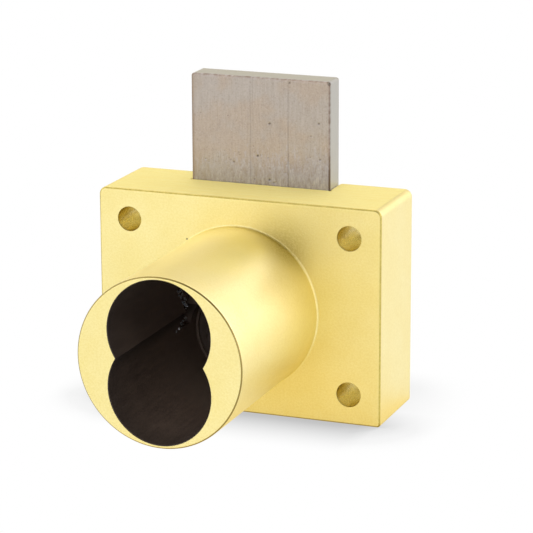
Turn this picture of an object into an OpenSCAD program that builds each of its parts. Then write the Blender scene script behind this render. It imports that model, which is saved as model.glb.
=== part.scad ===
// Drawer deadbolt lock for a figure-eight interchangeable core, shown with the bolt thrown
// and without its core. Millimetres. X runs to the right, Y from the front to the back and Z up.
// The origin is the centre of the four screw holes, on the face that lies against the drawer front.

/* [Case] */
// Width of the case
case_w = 42.7; // [41:0.1:52]
// Height of the case
case_h = 31.5; // [29:0.1:40]
// Wall of the case above and below the mechanism, and round the back cover
case_wall = 1.4; // [1:0.1:2]
// Radius of the case's four long corners
case_corner_r = 1.1; // [0.5:0.1:1.4]
// Bevel that breaks the sharp edges of the case and of the barrel's mouth
edge_break = 0.25; // [0.1:0.05:0.5]

/* [Screw holes] */
// Distance from the left and right sides of the case to the centres of the screw holes
hole_edge_x = 4.7; // [4:0.1:6]
// Distance from the top and bottom of the case to the centres of the screw holes
hole_edge_z = 4.4; // [4:0.1:7]
// Diameter of the screw holes
hole_d = 3.6; // [3:0.1:4.2]
// Metal between a screw hole and the bolt's channel
hole_wall = 1.65; // [1:0.05:2.5]
// How much wider the cover's holes are than the case's
cover_hole_play = 0.3; // [0.1:0.1:1]

/* [Barrel and core socket] */
// Length of the barrel in front of the case
barrel_len = 28.5; // [20:0.5:36]
// Metal left above and below the core socket
barrel_wall = 0.5; // [0.4:0.1:2]
// How far the barrel's axis lies below the middle of the case
barrel_drop = 0.3; // [0:0.1:1]
// Width of the bright fillet where the barrel meets the case
base_fillet = 0.35; // [0.1:0.05:0.8]
// Diameter of each of the socket's two lobes
lobe_d = 14.8; // [14.6:0.1:15.2]
// Distance between the centres of the lobes
lobe_gap = 8; // [7.6:0.1:8.4]
// Depth of the socket from the barrel's mouth
socket_depth = 30.6; // [29.5:0.1:32]
// Distance from the mouth to the pocket for the core's side lug
lug_depth = 24.3; // [20:0.1:25]
// Length of the lug pocket along the barrel
lug_len = 4.1; // [3:0.1:5]
// Height of the lug pocket
lug_h = 5.6; // [4:0.1:7]
// Reach of the lug pocket beyond the wall of the lower lobe
lug_reach = 1.5; // [0.8:0.1:2]

/* [Throw member] */
// Thickness of the disc behind the core
disc_t = 2; // [1.5:0.1:3]
// Step from the wall of the lower lobe in to the disc
disc_step = 0.4; // [0.2:0.1:1]
// How far the disc's face lies behind the floor of the socket
disc_sink = 0.3; // [0.1:0.1:0.6]
// Thickness of the web that carries the journal
web_t = 1.8; // [1.4:0.1:3]
// Diameter of the journal
journal_d = 6.9; // [6.4:0.1:7.6]
// Side of the square tail that drives the crank arm
tail_side = 4.2; // [3.6:0.1:4.4]
// Diameter of the two prongs that enter the core
prong_d = 2.3; // [2:0.1:2.5]
// Distance between the centres of the prongs
prong_gap = 5.6; // [5.2:0.1:6.4]
// Length of the prongs in front of the disc
prong_len = 5; // [3:0.1:6]
// Depth that the prongs are pressed into the disc
prong_seat = 1.4; // [1:0.1:1.4]
// Thickness of the spring washer between the web and the crank arm
washer_t = 0.25; // [0.2:0.05:0.5]

/* [Crank arm] */
// Thickness of the crank arm
crank_t = 2.1; // [1.5:0.1:3]
// Radius of the crank arm's hub
hub_r = 4.6; // [4.2:0.1:5.2]
// Diameter of the stud that carries the bolt
stud_d = 2.5; // [2:0.1:3]
// Metal round the stud at the end of the crank arm
stud_wall = 0.85; // [0.6:0.05:1.2]

/* [Deadbolt] */
// Width of the bolt's nose
bolt_w = 21.1; // [16:0.1:24]
// Thickness of the bolt
bolt_t = 3.9; // [3:0.1:5]
// Travel of the bolt, which is also how far it stands out of the case when thrown
bolt_throw = 15.65; // [12:0.05:17]
// Depth of the groove that the stud runs in
groove_depth = 2.7; // [2:0.1:2.8]
// Metal of the bolt below the groove
groove_lip = 1.3; // [1:0.1:2]
// Play of the stud in the groove, below it
groove_play_low = 0.25; // [0.2:0.05:0.6]
// Play of the stud in the groove, above it
groove_play_high = 0.75; // [0.6:0.05:1.2]
// Bevel on the corners of the bolt's nose
nose_break = 0.35; // [0.1:0.05:1]

/* [Back cover] */
// Thickness of the back cover
cover_t = 0.9; // [0.7:0.1:1.5]
// Diameter of the cover screws' heads
screw_head_d = 4; // [3.4:0.1:4.6]
// Height of the cover screws' sunk heads
screw_head_t = 1.2; // [1:0.1:1.6]
// Diameter of the cover screws' threads
screw_d = 2.2; // [1.8:0.1:2.6]
// Length of the cover screws
screw_len = 6; // [4:0.5:7]
// Length of each arm of the cross in the screw heads, tip to tip
cross_len = 2.2; // [1.6:0.1:2.6]
// Width of the arms of the cross
cross_w = 0.5; // [0.3:0.1:0.7]
// Depth of the cross
cross_depth = 0.6; // [0.3:0.1:0.8]

/* [Clearances] */
// Gap at each face of the bolt where it slides
slide_gap = 0.1; // [0.05:0.05:0.2]
// Radial gap of the turning pieces in their bores
turn_gap = 0.06; // [0.03:0.01:0.1]
// Gap between pieces that pass each other without guiding
pass_gap = 0.25; // [0.15:0.05:0.5]
// Gap that is left at the bolt's two stops
stop_gap = 0.15; // [0.05:0.05:0.3]

/* [Hidden] */
$fn = 72;
eps = 0.01;

brass = "#E9CC74";
raw_zinc = "#B9B4A6";
steel = "#9A9488";
bolt_nickel = "#B8AC98";

// Places along Y, from the drawer front to the back of the case
socket_y = socket_depth - barrel_len;
disc_y = socket_y + disc_sink;
web_y = disc_y + disc_t + slide_gap;
web_back_y = web_y + web_t;
washer_y = web_back_y + turn_gap;
crank_y = washer_y + washer_t;
land_y = crank_y + crank_t + slide_gap;
bolt_y = land_y + slide_gap;
cover_y = bolt_y + bolt_t + slide_gap;
case_t = cover_y + cover_t;

// Heights
case_top = case_h / 2;
channel_top = case_top - case_wall;
channel_floor = -channel_top;
barrel_z = -barrel_drop;
upper_lobe_z = barrel_z + lobe_gap / 2;
plug_z = barrel_z - lobe_gap / 2;

// The screw holes' distances apart
hole_gap_x = case_w - 2 * hole_edge_x;
hole_gap_z = case_h - 2 * hole_edge_z;

// Radii and widths
barrel_r = (lobe_gap + lobe_d) / 2 + barrel_wall;
disc_r = lobe_d / 2 - disc_step;
stud_end_r = stud_d / 2 + stud_wall;
channel_half = hole_gap_x / 2 - hole_d / 2 - hole_wall;
bolt_body_half = channel_half - pass_gap;
crank_r = channel_half - stud_end_r - pass_gap;
channel_corner_r = min(1.2, stud_end_r);

// The stud's height with the bolt drawn in and thrown, and the crank's angle there,
// measured from level
stud_low_z = channel_floor + stop_gap + groove_lip + groove_play_low + stud_d / 2;
stud_z = stud_low_z + bolt_throw;
crank_low_angle = asin((stud_low_z - plug_z) / crank_r);
crank_angle = asin((stud_z - plug_z) / crank_r);
stud_x = crank_r * cos(crank_angle);
crank_turn = crank_angle - crank_low_angle;

// The bolt, thrown
bolt_bottom = channel_floor + stop_gap + bolt_throw;
bolt_top = case_top + bolt_throw;
shoulder_z = channel_top - stop_gap;
groove_bottom = stud_z - stud_d / 2 - groove_play_low;
groove_top = stud_z + stud_d / 2 + groove_play_high;
groove_inner_x = crank_r * cos(max(crank_angle, -crank_low_angle)) - stud_d / 2 - pass_gap;

// The pocket that the crank arm swings in
pocket_left = hub_r + pass_gap;
pocket_top = stud_z + stud_end_r + pass_gap;

// The back cover and its screws
cover_half_w = case_w / 2 - case_wall;
cover_half_h = case_h / 2 - case_wall;
cover_corner_r = min(1.5, case_wall + 0.1);
screw_sites = [-hole_gap_x / 2, hole_gap_x / 2];
mount_sites = [for (sx = [-1, 1], sz = [-1, 1]) [sx * hole_gap_x / 2, sz * hole_gap_z / 2]];

echo(case_t = case_t, crank_r = crank_r, crank_angle = crank_angle, crank_turn = crank_turn);
echo(plug_z = plug_z, barrel_r = barrel_r, disc_y = disc_y, bolt_y = bolt_y);

// A flat outline, drawn in X and Z, made solid from one depth to another
module from_to(y0, y1) {
    translate([0, y1, 0]) rotate([90, 0, 0]) linear_extrude(y1 - y0) children();
}

// A round bar along Y
module bar(r, y0, y1, x = 0, z = 0) {
    translate([x, y1, z]) rotate([90, 0, 0]) cylinder(r = r, h = y1 - y0);
}

// A cone along Y, with one radius at its front and another at its back
module taper(r_front, r_back, y0, y1, x = 0, z = 0) {
    translate([x, y1, z]) rotate([90, 0, 0]) cylinder(r1 = r_back, r2 = r_front, h = y1 - y0);
}

// A turned piece along Y: its outline runs from its back end at y1 towards the front
module turned(y1, x, z, outline) {
    translate([x, y1, z]) rotate([90, 0, 0]) rotate_extrude() polygon(outline);
}

// A rectangle with round corners, between two corners
module round_rect(x0, z0, x1, z1, r) {
    translate([x0 + r, z0]) square([x1 - x0 - 2 * r, z1 - z0]);
    translate([x0, z0 + r]) square([x1 - x0, z1 - z0 - 2 * r]);
    for (x = [x0 + r, x1 - r], z = [z0 + r, z1 - r]) translate([x, z]) circle(r);
}

// The outline of a link between two round ends that lie apart along X, as one run of points:
// an arc round the hub, an arc round the far end and the two lines that touch both
function arc(r, x, from, to, steps) =
    [for (i = [0:steps]) let (a = from + (to - from) * i / steps) [x + r * cos(a), r * sin(a)]];

module link_outline(r1, r2, reach) {
    lean = acos((r1 - r2) / reach);
    polygon(concat(arc(r1, 0, lean, 360 - lean, 24), arc(r2, reach, -lean, lean, 16)));
}

// The block of the case, with its long corners round and its front and back edges broken
module case_block() {
    b = edge_break;
    x = case_w / 2;
    z = case_h / 2;
    intersection() {
        from_to(0, case_t) round_rect(-x, -z, x, z, case_corner_r);
        translate([0, 0, -z]) linear_extrude(case_h) polygon([
            [-x, b], [-x + b, 0], [x - b, 0], [x, b],
            [x, case_t - b], [x - b, case_t], [-x + b, case_t], [-x, case_t - b]
        ]);
        translate([-x, 0, 0]) rotate([90, 0, 90]) linear_extrude(case_w) polygon([
            [0, -z + b], [b, -z], [case_t - b, -z], [case_t, -z + b],
            [case_t, z - b], [case_t - b, z], [b, z], [0, z - b]
        ]);
    }
}

// The barrel, in one piece with the case. Its root reaches back to the socket's floor
module barrel() {
    len = barrel_len + socket_y;
    turned(socket_y, 0, barrel_z, [
        [0, 0], [barrel_r, 0], [barrel_r + base_fillet, socket_y - eps],
        [barrel_r + base_fillet, socket_y], [barrel_r, socket_y + base_fillet],
        [barrel_r, len - edge_break], [barrel_r - edge_break, len], [0, len]
    ]);
}

// The figure-eight socket for the core, with the pocket for the core's lug in its left wall
module core_socket() {
    for (z = [upper_lobe_z, plug_z]) bar(lobe_d / 2, -barrel_len - 1, socket_y, z = z);
    lug_y = lug_depth - barrel_len;
    lug_r = lobe_d / 2 + lug_reach;
    intersection() {
        bar(lug_r, lug_y, lug_y + lug_len, z = plug_z);
        translate([-lug_r, lug_y, barrel_z - lug_h / 2]) cube([lug_r, lug_len, lug_h]);
    }
}

// The space behind the socket: disc recess, journal bore, crank pocket and bolt channel
module mechanism_space() {
    bar(disc_r + turn_gap, socket_y - eps, web_y, z = plug_z);
    bar(journal_d / 2 + turn_gap, web_y - eps, web_back_y + eps, z = plug_z);
    from_to(web_back_y, land_y + eps)
        round_rect(-pocket_left, channel_floor, channel_half, pocket_top, channel_corner_r);
    from_to(land_y, case_t + 1)
        round_rect(-channel_half, channel_floor, channel_half, channel_top, channel_corner_r);
    translate([-bolt_w / 2 - slide_gap, land_y, channel_top - 2 * channel_corner_r])
        cube([bolt_w + 2 * slide_gap, case_t - land_y + 1, case_h]);
}

// One sunk hole for a cover screw
module cover_screw_hole(x) {
    bar(screw_d / 2, case_t - screw_len - pass_gap, case_t + eps, x = x);
    taper(screw_d / 2, screw_head_d / 2, case_t - screw_head_t, case_t, x = x);
    bar(screw_head_d / 2, case_t - eps, case_t + 1, x = x);
}

module housing() {
    color(brass) difference() {
        union() {
            case_block();
            barrel();
        }
        core_socket();
        mechanism_space();
        from_to(cover_y, case_t + 1)
            round_rect(-cover_half_w, -cover_half_h, cover_half_w, cover_half_h, cover_corner_r);
        for (p = mount_sites) bar(hole_d / 2, -1, case_t + 1, x = p[0], z = p[1]);
        for (x = screw_sites) cover_screw_hole(x);
    }
}

module back_cover() {
    w = cover_half_w - slide_gap;
    h = cover_half_h - slide_gap;
    color(raw_zinc) difference() {
        from_to(cover_y, case_t) round_rect(-w, -h, w, h, cover_corner_r - slide_gap);
        for (p = mount_sites)
            bar(hole_d / 2 + cover_hole_play, cover_y - 1, case_t + 1, x = p[0], z = p[1]);
        for (x = screw_sites) cover_screw_hole(x);
    }
}

module cover_screws() {
    color(steel) for (x = screw_sites) difference() {
        turned(case_t, x, 0, [
            [0, 0], [screw_head_d / 2, 0], [screw_d / 2, screw_head_t], [screw_d / 2, screw_len],
            [0, screw_len]
        ]);
        translate([x, case_t, 0]) for (turn = [0, 90]) rotate([0, turn, 0])
            cube([cross_len, 2 * cross_depth, cross_w], center = true);
    }
}

// The bolt is one flat plate: a nose that leaves the case and a wider body with two shoulders,
// which stop it under the top wall
module deadbolt() {
    n = nose_break;
    half = bolt_w / 2;
    color(bolt_nickel) difference() {
        union() {
            from_to(bolt_y, bolt_y + bolt_t) polygon([
                [-half, groove_top], [-half, bolt_top - n], [-half + n, bolt_top],
                [half - n, bolt_top], [half, bolt_top - n], [half, groove_top]
            ]);
            from_to(bolt_y, bolt_y + bolt_t) round_rect(-bolt_body_half, bolt_bottom,
                bolt_body_half, shoulder_z, channel_corner_r);
        }
        translate([groove_inner_x, bolt_y - 1, groove_bottom])
            cube([case_w, groove_depth + 1, groove_top - groove_bottom]);
    }
}

// Disc, journal and square tail, turned in one piece
module throw_disc() {
    color(steel) difference() {
        union() {
            bar(disc_r, disc_y, disc_y + disc_t, z = plug_z);
            bar(journal_d / 2, disc_y + disc_t - eps, crank_y, z = plug_z);
            translate([0, crank_y - eps, plug_z]) rotate([0, -crank_angle, 0])
                translate([-tail_side / 2, 0, -tail_side / 2])
                    cube([tail_side, crank_t + eps, tail_side]);
        }
        for (side = [-1, 1])
            bar(prong_d / 2, disc_y - 1, disc_y + prong_seat, x = side * prong_gap / 2,
                z = plug_z);
    }
}

module drive_prongs() {
    r = prong_d / 2;
    len = prong_len + prong_seat;
    tip = prong_d / 4;
    color(steel) for (side = [-1, 1])
        turned(disc_y + prong_seat, side * prong_gap / 2, plug_z,
               [[0, 0], [r, 0], [r, len - tip], [r - tip / 2, len], [0, len]]);
}

module spring_washer() {
    color(steel) difference() {
        bar(hub_r, washer_y, crank_y, z = plug_z);
        bar(journal_d / 2 + turn_gap, washer_y - 1, crank_y + 1, z = plug_z);
    }
}

module crank_arm() {
    color(steel) difference() {
        translate([0, 0, plug_z]) rotate([0, -crank_angle, 0])
            from_to(crank_y, crank_y + crank_t) link_outline(hub_r, stud_end_r, crank_r);
        translate([0, 0, plug_z]) rotate([0, -crank_angle, 0])
            translate([-tail_side / 2, crank_y - 1, -tail_side / 2])
                cube([tail_side, crank_t + 2, tail_side]);
        bar(stud_d / 2, crank_y - 1, crank_y + crank_t + 1, x = stud_x, z = stud_z);
    }
}

module drive_stud() {
    color(steel)
        bar(stud_d / 2, crank_y, bolt_y + groove_depth - pass_gap, x = stud_x, z = stud_z);
}

housing();
back_cover();
cover_screws();
deadbolt();
throw_disc();
drive_prongs();
spring_washer();
crank_arm();
drive_stud();
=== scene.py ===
# Drawer deadbolt lock for a figure-eight core, bolt thrown: the dressed model round its frame.
# Lengths are millimetres until a mesh is made. X runs right, Y from front to back and Z up.
import math
import random

import bmesh
import bpy
from mathutils import Matrix, Vector, noise


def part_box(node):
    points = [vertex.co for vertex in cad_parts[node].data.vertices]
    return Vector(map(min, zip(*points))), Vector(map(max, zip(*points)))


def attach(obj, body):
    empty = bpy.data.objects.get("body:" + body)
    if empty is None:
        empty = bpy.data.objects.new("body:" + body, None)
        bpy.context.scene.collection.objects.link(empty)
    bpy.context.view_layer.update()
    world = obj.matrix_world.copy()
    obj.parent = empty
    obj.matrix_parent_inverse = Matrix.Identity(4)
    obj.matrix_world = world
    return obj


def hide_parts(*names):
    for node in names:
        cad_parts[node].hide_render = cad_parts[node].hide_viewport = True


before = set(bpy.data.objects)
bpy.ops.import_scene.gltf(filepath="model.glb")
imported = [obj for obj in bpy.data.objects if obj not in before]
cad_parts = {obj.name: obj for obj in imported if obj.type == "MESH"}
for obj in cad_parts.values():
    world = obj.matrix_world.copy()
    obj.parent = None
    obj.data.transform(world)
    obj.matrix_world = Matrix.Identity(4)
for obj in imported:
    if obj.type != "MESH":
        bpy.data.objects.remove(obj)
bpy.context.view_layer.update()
MM = 0.001


def box_mm(node):
    """A CAD node's lowest and highest corners at rest, in millimetres."""
    low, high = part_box(node)
    return Vector(low) / MM, Vector(high) / MM


# Case and barrel. CASE_CORNERS are radii, counter-clockwise from the top right corner.
CASE_LOW, CASE_HIGH = box_mm("housing")
CASE_HALF_W = CASE_HIGH.x
CASE_HALF_H = CASE_HIGH.z
CASE_DEPTH = CASE_HIGH.y
CASE_CORNERS = (1.1, 1.1, 0.5, 0.5)
CASE_EDGE = 0.3
BARREL_R = 11.9
BARREL_Z = -0.3
BARREL_MOUTH = CASE_LOW.y
BARREL_FILLET = 0.3
MOUTH_EDGE = 0.28

# Core socket, with the lug pocket in its left wall
LOBE_R = 7.4
LOBE_GAP = 8.0
SOCKET_LIP = 0.1
SOCKET_END = 2.1
PLUG_Z = BARREL_Z - LOBE_GAP / 2
LUG_Y = (-4.2, -0.1)
LUG_Z = (-3.1, 2.5)
LUG_R = 8.9
LUG_STEPS = 24

# Torn chips at the pocket's front edge. Each run has its start, end, count and largest size.
CHIP_RUNS = (
    ((-7.25, -4.5, 3.1), (-6.65, -2.9, -0.1), 34, 0.40),
    ((-6.75, -3.5, -0.9), (-7.2, -4.7, -3.0), 22, 0.32),
)
CHIP_CORNERS = ((1, 0, 0), (-1, 0, 0), (0, 1, 0), (0, -1, 0), (0, 0, 1), (0, 0, -1))
CHIP_SIDES = ((0, 2, 4), (2, 1, 4), (1, 3, 4), (3, 0, 4), (2, 0, 5), (1, 2, 5), (3, 1, 5), (0, 3, 5))

# Spaces for the mechanism. CHANNEL and COVER_SEAT are half width, half height and corner radius.
DISC_RECESS_R = 7.06
WEB_Y = (4.5, 6.3)
JOURNAL_BORE_R = 3.51
LAND_Y = 8.81
CHANNEL = (13.2, 14.35, 1.2)
CRANK_POCKET_LEFT = -4.85
CRANK_POCKET_TOP = 6.6
COVER_Y = 12.91
COVER_SEAT = (19.95, 14.35, 1.5)

# The bolt's slot in the top wall: half its plan, from the relief cut in front to the flared back
SLOT_HALF = 10.65
SLOT_FOOT = 12.0
SLOT_FLARE = 0.9
SLOT_RELIEF = ((10.3, 8.81), (10.6, 8.6), (10.85, 8.66), (10.9, 8.95), (10.65, 9.1))

# Holes, and how far their cutters reach past the faces that they open
PAST = 1
SCREW_HOLE_X = 16.65
SCREW_HOLE_Z = 11.35
SCREW_HOLES = [(sx * SCREW_HOLE_X, sz * SCREW_HOLE_Z) for sx in (-1, 1) for sz in (-1, 1)]
SCREW_HOLE_R = 1.8
SCREW_HOLE_LIP = 0.03
COVER_SCREW_X = 16.65
COVER_THREAD_R = 1.1
COVER_HEAD_R = 2.0
COVER_HEAD_H = 1.2
COVER_SCREW_LENGTH = 6.0
COVER_SCREW_ROOM = 0.25

# Back cover: its edge, corners and clearance holes, which open a little at the back
COVER_EDGE = 0.2
COVER_CORNER = 1.4
COVER_HOLE_R = 2.1
COVER_HOLE_MOUTH_R = 2.22
COVER_HOLE_LIP = 0.15

# A small pit left by the casting: where along X and Z, and its radius
CASTING_PIT = (-7.77, 9.16, 0.12)

# Deadbolt. Its front is marked above MARKS_FOOT_Z, down to MARKS_DEPTH behind the surface. The
# lattice has few steps at BOLT_HIDDEN_Z, inside the case. GROOVE is low and high corners.
BOLT_LOW, BOLT_HIGH = box_mm("deadbolt")
BOLT_NOSE_HALF = 10.55
BOLT_NOSE_CORNER = 0.4
BOLT_NOSE_STEP = 0.14
BOLT_EDGE = 0.12
BOLT_BODY_CORNER = 1.2
BOLT_BODY_INSET = 0.01
BOLT_SHOULDER_Z = 14.2
BOLT_HIDDEN_Z = [10.0, 12.0, 14.0]
MARKS_FOOT_Z = 15
MARKS_DEPTH = 0.3
GROOVE = ((5.2, 7.0, 2.75), (14.0, 11.61, 6.25))
# Rolling lines on its front: where along X, and how strong at the top and at the foot
BOLT_LINES = ((-1.5, 0.18, 0.36), (-1.15, 0.2, 0.0), (4.25, 0.12, 0.6))
BOLT_LINE_WIDTH = 0.09
# Its bitten corner and the pits on its front: X, Z and radius
BOLT_BITE = (10.45, 31.15, 0.28)
BOLT_PITS = (
    (1.46, 24.8, 0.20), (8.9, 25.3, 0.18), (-0.4, 19.95, 0.22), (0.1, 20.1, 0.12), (1.42, 16.6, 0.22),
    (4.5, 30.9, 0.18), (-4.97, 25.5, 0.13), (-8.45, 18.9, 0.13), (-4.1, 18.8, 0.17),
    (-4.6, 19.1, 0.13), (-9.2, 25.7, 0.12), (-3.2, 19.9, 0.12), (2.1, 16.2, 0.14),
    (1.15, 19.75, 0.12), (-0.9, 16.5, 0.14), (7.7, 23.4, 0.12), (9.1, 20.1, 0.15),
)
# All its pits with the fine ones, where the lowest lie, and how wide a pit's rim is for its radius
PIT_COUNT = 110
PIT_FOOT_Z = 15.8
PIT_RIM = 1.7

# Camera, fitted to the corners of the real lock. Its turn, rise and roll are degrees.
CAMERA_TURN = 21.145
CAMERA_RISE = 15.049
CAMERA_ROLL = -0.217
CAMERA_TARGET = Vector((4.337, 0, 6.239))
CAMERA_DISTANCE = 371.83
CAMERA_LENS = 178.28


# Meshes

CORNER_STEPS = 8
LOBE_STEPS = 56


def solid(name, points, faces, paint=None):
    """A closed mesh piece from points in millimetres, with its faces turned outwards."""
    mesh = bpy.data.meshes.new(name)
    mesh.from_pydata([Vector(p) * MM for p in points], [], faces)
    shell = bmesh.new()
    shell.from_mesh(mesh)
    bmesh.ops.remove_doubles(shell, verts=shell.verts, dist=1e-8)
    bmesh.ops.recalc_face_normals(shell, faces=shell.faces)
    shell.to_mesh(mesh)
    shell.free()
    piece = bpy.data.objects.new(name, mesh)
    bpy.context.scene.collection.objects.link(piece)
    if paint:
        mesh.materials.append(paint)
    return piece


def loft(name, rings, paint):
    """A closed skin over rings that all have the same number of points."""
    count = len(rings[0])
    points = [p for ring in rings for p in ring]
    faces = []
    for level in range(len(rings) - 1):
        start = level * count
        for i in range(count):
            j = (i + 1) % count
            faces.append((start + i, start + j, start + count + j, start + count + i))
    faces.append(tuple(range(count)))
    faces.append(tuple(range(len(points) - count, len(points))))
    return solid(name, points, faces, paint)


def prism(name, stations, paint):
    """A loft along Y: each station is a depth and an outline of X and Z places."""
    return loft(name, [[(x, y, z) for x, z in outline] for y, outline in stations], paint)


def angles(start, end, steps):
    """Even steps from one angle to another: the ends are degrees and the steps radians."""
    return [math.radians(start + (end - start) * i / steps) for i in range(steps + 1)]


def circle(radius, x, z, steps):
    turn = 2 * math.pi / steps
    return [(x + radius * math.cos(turn * i), z + radius * math.sin(turn * i)) for i in range(steps)]


def round_rect(x0, z0, x1, z1, radii):
    """A rectangle's outline with round corners, run counter-clockwise from the top right one."""
    corners = ((x1, z1, 0), (x0, z1, 90), (x0, z0, 180), (x1, z0, 270))
    if not isinstance(radii, tuple):
        radii = (radii,) * 4
    outline = []
    for (x, z, start), radius in zip(corners, radii):
        cx = x - radius if start in (0, 270) else x + radius
        cz = z - radius if start in (0, 90) else z + radius
        for a in angles(start, start + 90, CORNER_STEPS):
            outline.append((cx + radius * math.cos(a), cz + radius * math.sin(a)))
    return outline


def centred_rect(half_w, half_h, radii):
    """The same outline round the middle of the case."""
    return round_rect(-half_w, -half_h, half_w, half_h, radii)


def figure_eight(radius):
    """The outline of the two lobes of the core socket."""
    half = LOBE_GAP / 2
    dip = math.asin(half / radius)
    outline = []
    for centre, start in ((BARREL_Z + half, -dip), (BARREL_Z - half, math.pi - dip)):
        sweep = math.pi + 2 * dip
        for i in range(LOBE_STEPS):
            a = start + sweep * i / LOBE_STEPS
            outline.append((radius * math.cos(a), centre + radius * math.sin(a)))
    return outline


def turned(name, profile, x, z, paint, steps=96):
    """A turned piece along Y: its profile lists depths and radii from one end to the other."""
    return prism(name, [(y, circle(r, x, z, steps)) for y, r in profile], paint)


def block(name, low, high, paint):
    """A plain block, used to cut with."""
    outline = [(low[0], low[2]), (high[0], low[2]), (high[0], high[2]), (low[0], high[2])]
    return prism(name, [(low[1], outline), (high[1], outline)], paint)


def settle(piece):
    """Applies a piece's modifiers, so that a plain mesh is left."""
    graph = bpy.context.evaluated_depsgraph_get()
    shaped = piece.evaluated_get(graph)
    mesh = bpy.data.meshes.new_from_object(shaped, preserve_all_data_layers=True, depsgraph=graph)
    old = piece.data
    piece.modifiers.clear()
    piece.data = mesh
    mesh.name = piece.name
    bpy.data.meshes.remove(old)


def cut(piece, tools, operation="DIFFERENCE"):
    """Cuts the tools from a piece, or fuses them to it, and keeps the finish of each tool."""
    for tool in tools:
        step = piece.modifiers.new(tool.name, "BOOLEAN")
        step.operation = operation
        step.solver = "EXACT"
        step.material_mode = "TRANSFER"
        step.object = tool
    settle(piece)
    for tool in tools:
        bpy.data.objects.remove(tool)


def add_shells(piece, shells, paint):
    """Adds small closed shells to a piece, in a finish of their own."""
    mesh = piece.data
    mesh.materials.append(paint)
    for face in shells.data.polygons:
        face.material_index = len(mesh.materials) - 1
    both = bmesh.new()
    both.from_mesh(mesh)
    both.from_mesh(shells.data)
    both.to_mesh(mesh)
    both.free()
    bpy.data.objects.remove(shells)


def shade(piece, angle=32):
    """Smooth shading that keeps edges sharper than the angle, with flat faces left flat."""
    piece.data.shade_smooth()
    piece.data.set_sharp_from_angle(angle=math.radians(angle))
    step = piece.modifiers.new("flat faces stay flat", "WEIGHTED_NORMAL")
    step.keep_sharp = True
    step.weight = 80
    settle(piece)


# Materials


class Recipe:
    """The nodes of one material or world, added one by one."""

    def __init__(self, tree):
        self.tree = tree
        tree.nodes.clear()

    def add(self, kind, sockets=None, **settings):
        """A new node, with what its sockets hold or take and what it is set to."""
        node = self.tree.nodes.new(kind)
        for key, value in settings.items():
            setattr(node, key, value)
        for key, value in (sockets or {}).items():
            self.feed(node.inputs[key], value)
        return node

    def feed(self, socket, value):
        if isinstance(value, bpy.types.NodeSocket):
            self.tree.links.new(value, socket)
        else:
            socket.default_value = value

    def place(self, scale=(1, 1, 1)):
        """Object coordinates in millimetres, stretched by a scale for each axis."""
        where = self.add("ShaderNodeTexCoord").outputs["Object"]
        sized = self.add("ShaderNodeMapping", {"Vector": where, "Scale": Vector(scale) / MM})
        return sized.outputs["Vector"]

    def split(self, vector):
        return self.add("ShaderNodeSeparateXYZ", {"Vector": vector}).outputs

    def from_line(self, where, x0, z0):
        """How far a place is from a line along Y."""
        x, _, z = self.split(where)
        x = self.math("SUBTRACT", x, x0)
        z = self.math("SUBTRACT", z, z0)
        return self.math("SQRT", self.math("MULTIPLY_ADD", x, x, self.math("MULTIPLY", z, z)))

    def noise(self, where, scale, detail=3.0, rough=0.55):
        sockets = {"Vector": where, "Scale": scale, "Detail": detail, "Roughness": rough}
        return self.add("ShaderNodeTexNoise", sockets).outputs[0]

    def math(self, operation, a, b=0.0, c=0.0):
        node = self.add("ShaderNodeMath", operation=operation)
        for socket, value in zip(node.inputs, (a, b, c)):
            self.feed(socket, value)
        return node.outputs[0]

    def span(self, value, low, high, to_low=0.0, to_high=1.0, kind="SMOOTHSTEP"):
        """Carries a value between low and high over to another span, and holds it beyond them."""
        sockets = {"Value": value, "From Min": low, "From Max": high}
        sockets.update({"To Min": to_low, "To Max": to_high})
        return self.add("ShaderNodeMapRange", sockets, interpolation_type=kind).outputs[0]

    def between(self, share, a, b):
        """A share of the way from one number to another."""
        return self.add("ShaderNodeMix", {0: share, 2: a, 3: b}, data_type="FLOAT").outputs[0]

    def blend(self, share, a, b):
        """A share of the way from one colour to another."""
        node = self.add("ShaderNodeMix", data_type="RGBA")
        for index, value in ((0, share), (6, a), (7, b)):
            if isinstance(value, tuple):
                value = (*value, 1.0)
            self.feed(node.inputs[index], value)
        return node.outputs[2]

    def stain(self, color, value, low, high, share, tone):
        """Brings up to a share of a tone into a colour as a value goes from low to high."""
        return self.blend(self.span(value, low, high, 0.0, share), color, tone)

    def bump(self, height, distance, strength, normal=None):
        """Relief with its depth in millimetres, laid over the relief before it."""
        sockets = {"Height": height, "Distance": distance * MM, "Strength": strength}
        if normal:
            sockets["Normal"] = normal
        return self.add("ShaderNodeBump", sockets).outputs[0]

    def metal(self, color, roughness, normal, metallic=1.0, coat=(0.0, 0.03)):
        """Ends a material: the coat has a weight and a roughness."""
        sockets = {"Base Color": color, "Roughness": roughness, "Normal": normal}
        sockets.update({"Metallic": metallic, "Coat Weight": coat[0], "Coat Roughness": coat[1]})
        shader = self.add("ShaderNodeBsdfPrincipled", sockets)
        self.add("ShaderNodeOutputMaterial", {"Surface": shader.outputs[0]})


def material(name):
    finish = bpy.data.materials.new(name)
    finish.use_nodes = True
    return finish, Recipe(finish.node_tree)


BRASS_PALE = (0.98, 0.85, 0.37)
BRASS_DEEP = (0.96, 0.82, 0.325)
# The middle of a patch of painted shade at the barrel's root, for the dark corner reflections, and its
# reach
SHADE_PATCH = (7.2, -0.6, 9.4)
SHADE_PATCH_REACH = 6.4
# X and Z of a strip of painted shade along the barrel's top, for a dark reflection band, and its reach
SHADE_STRIP = (3.6, 11.0)
STRIP_REACH = 5.0


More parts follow.
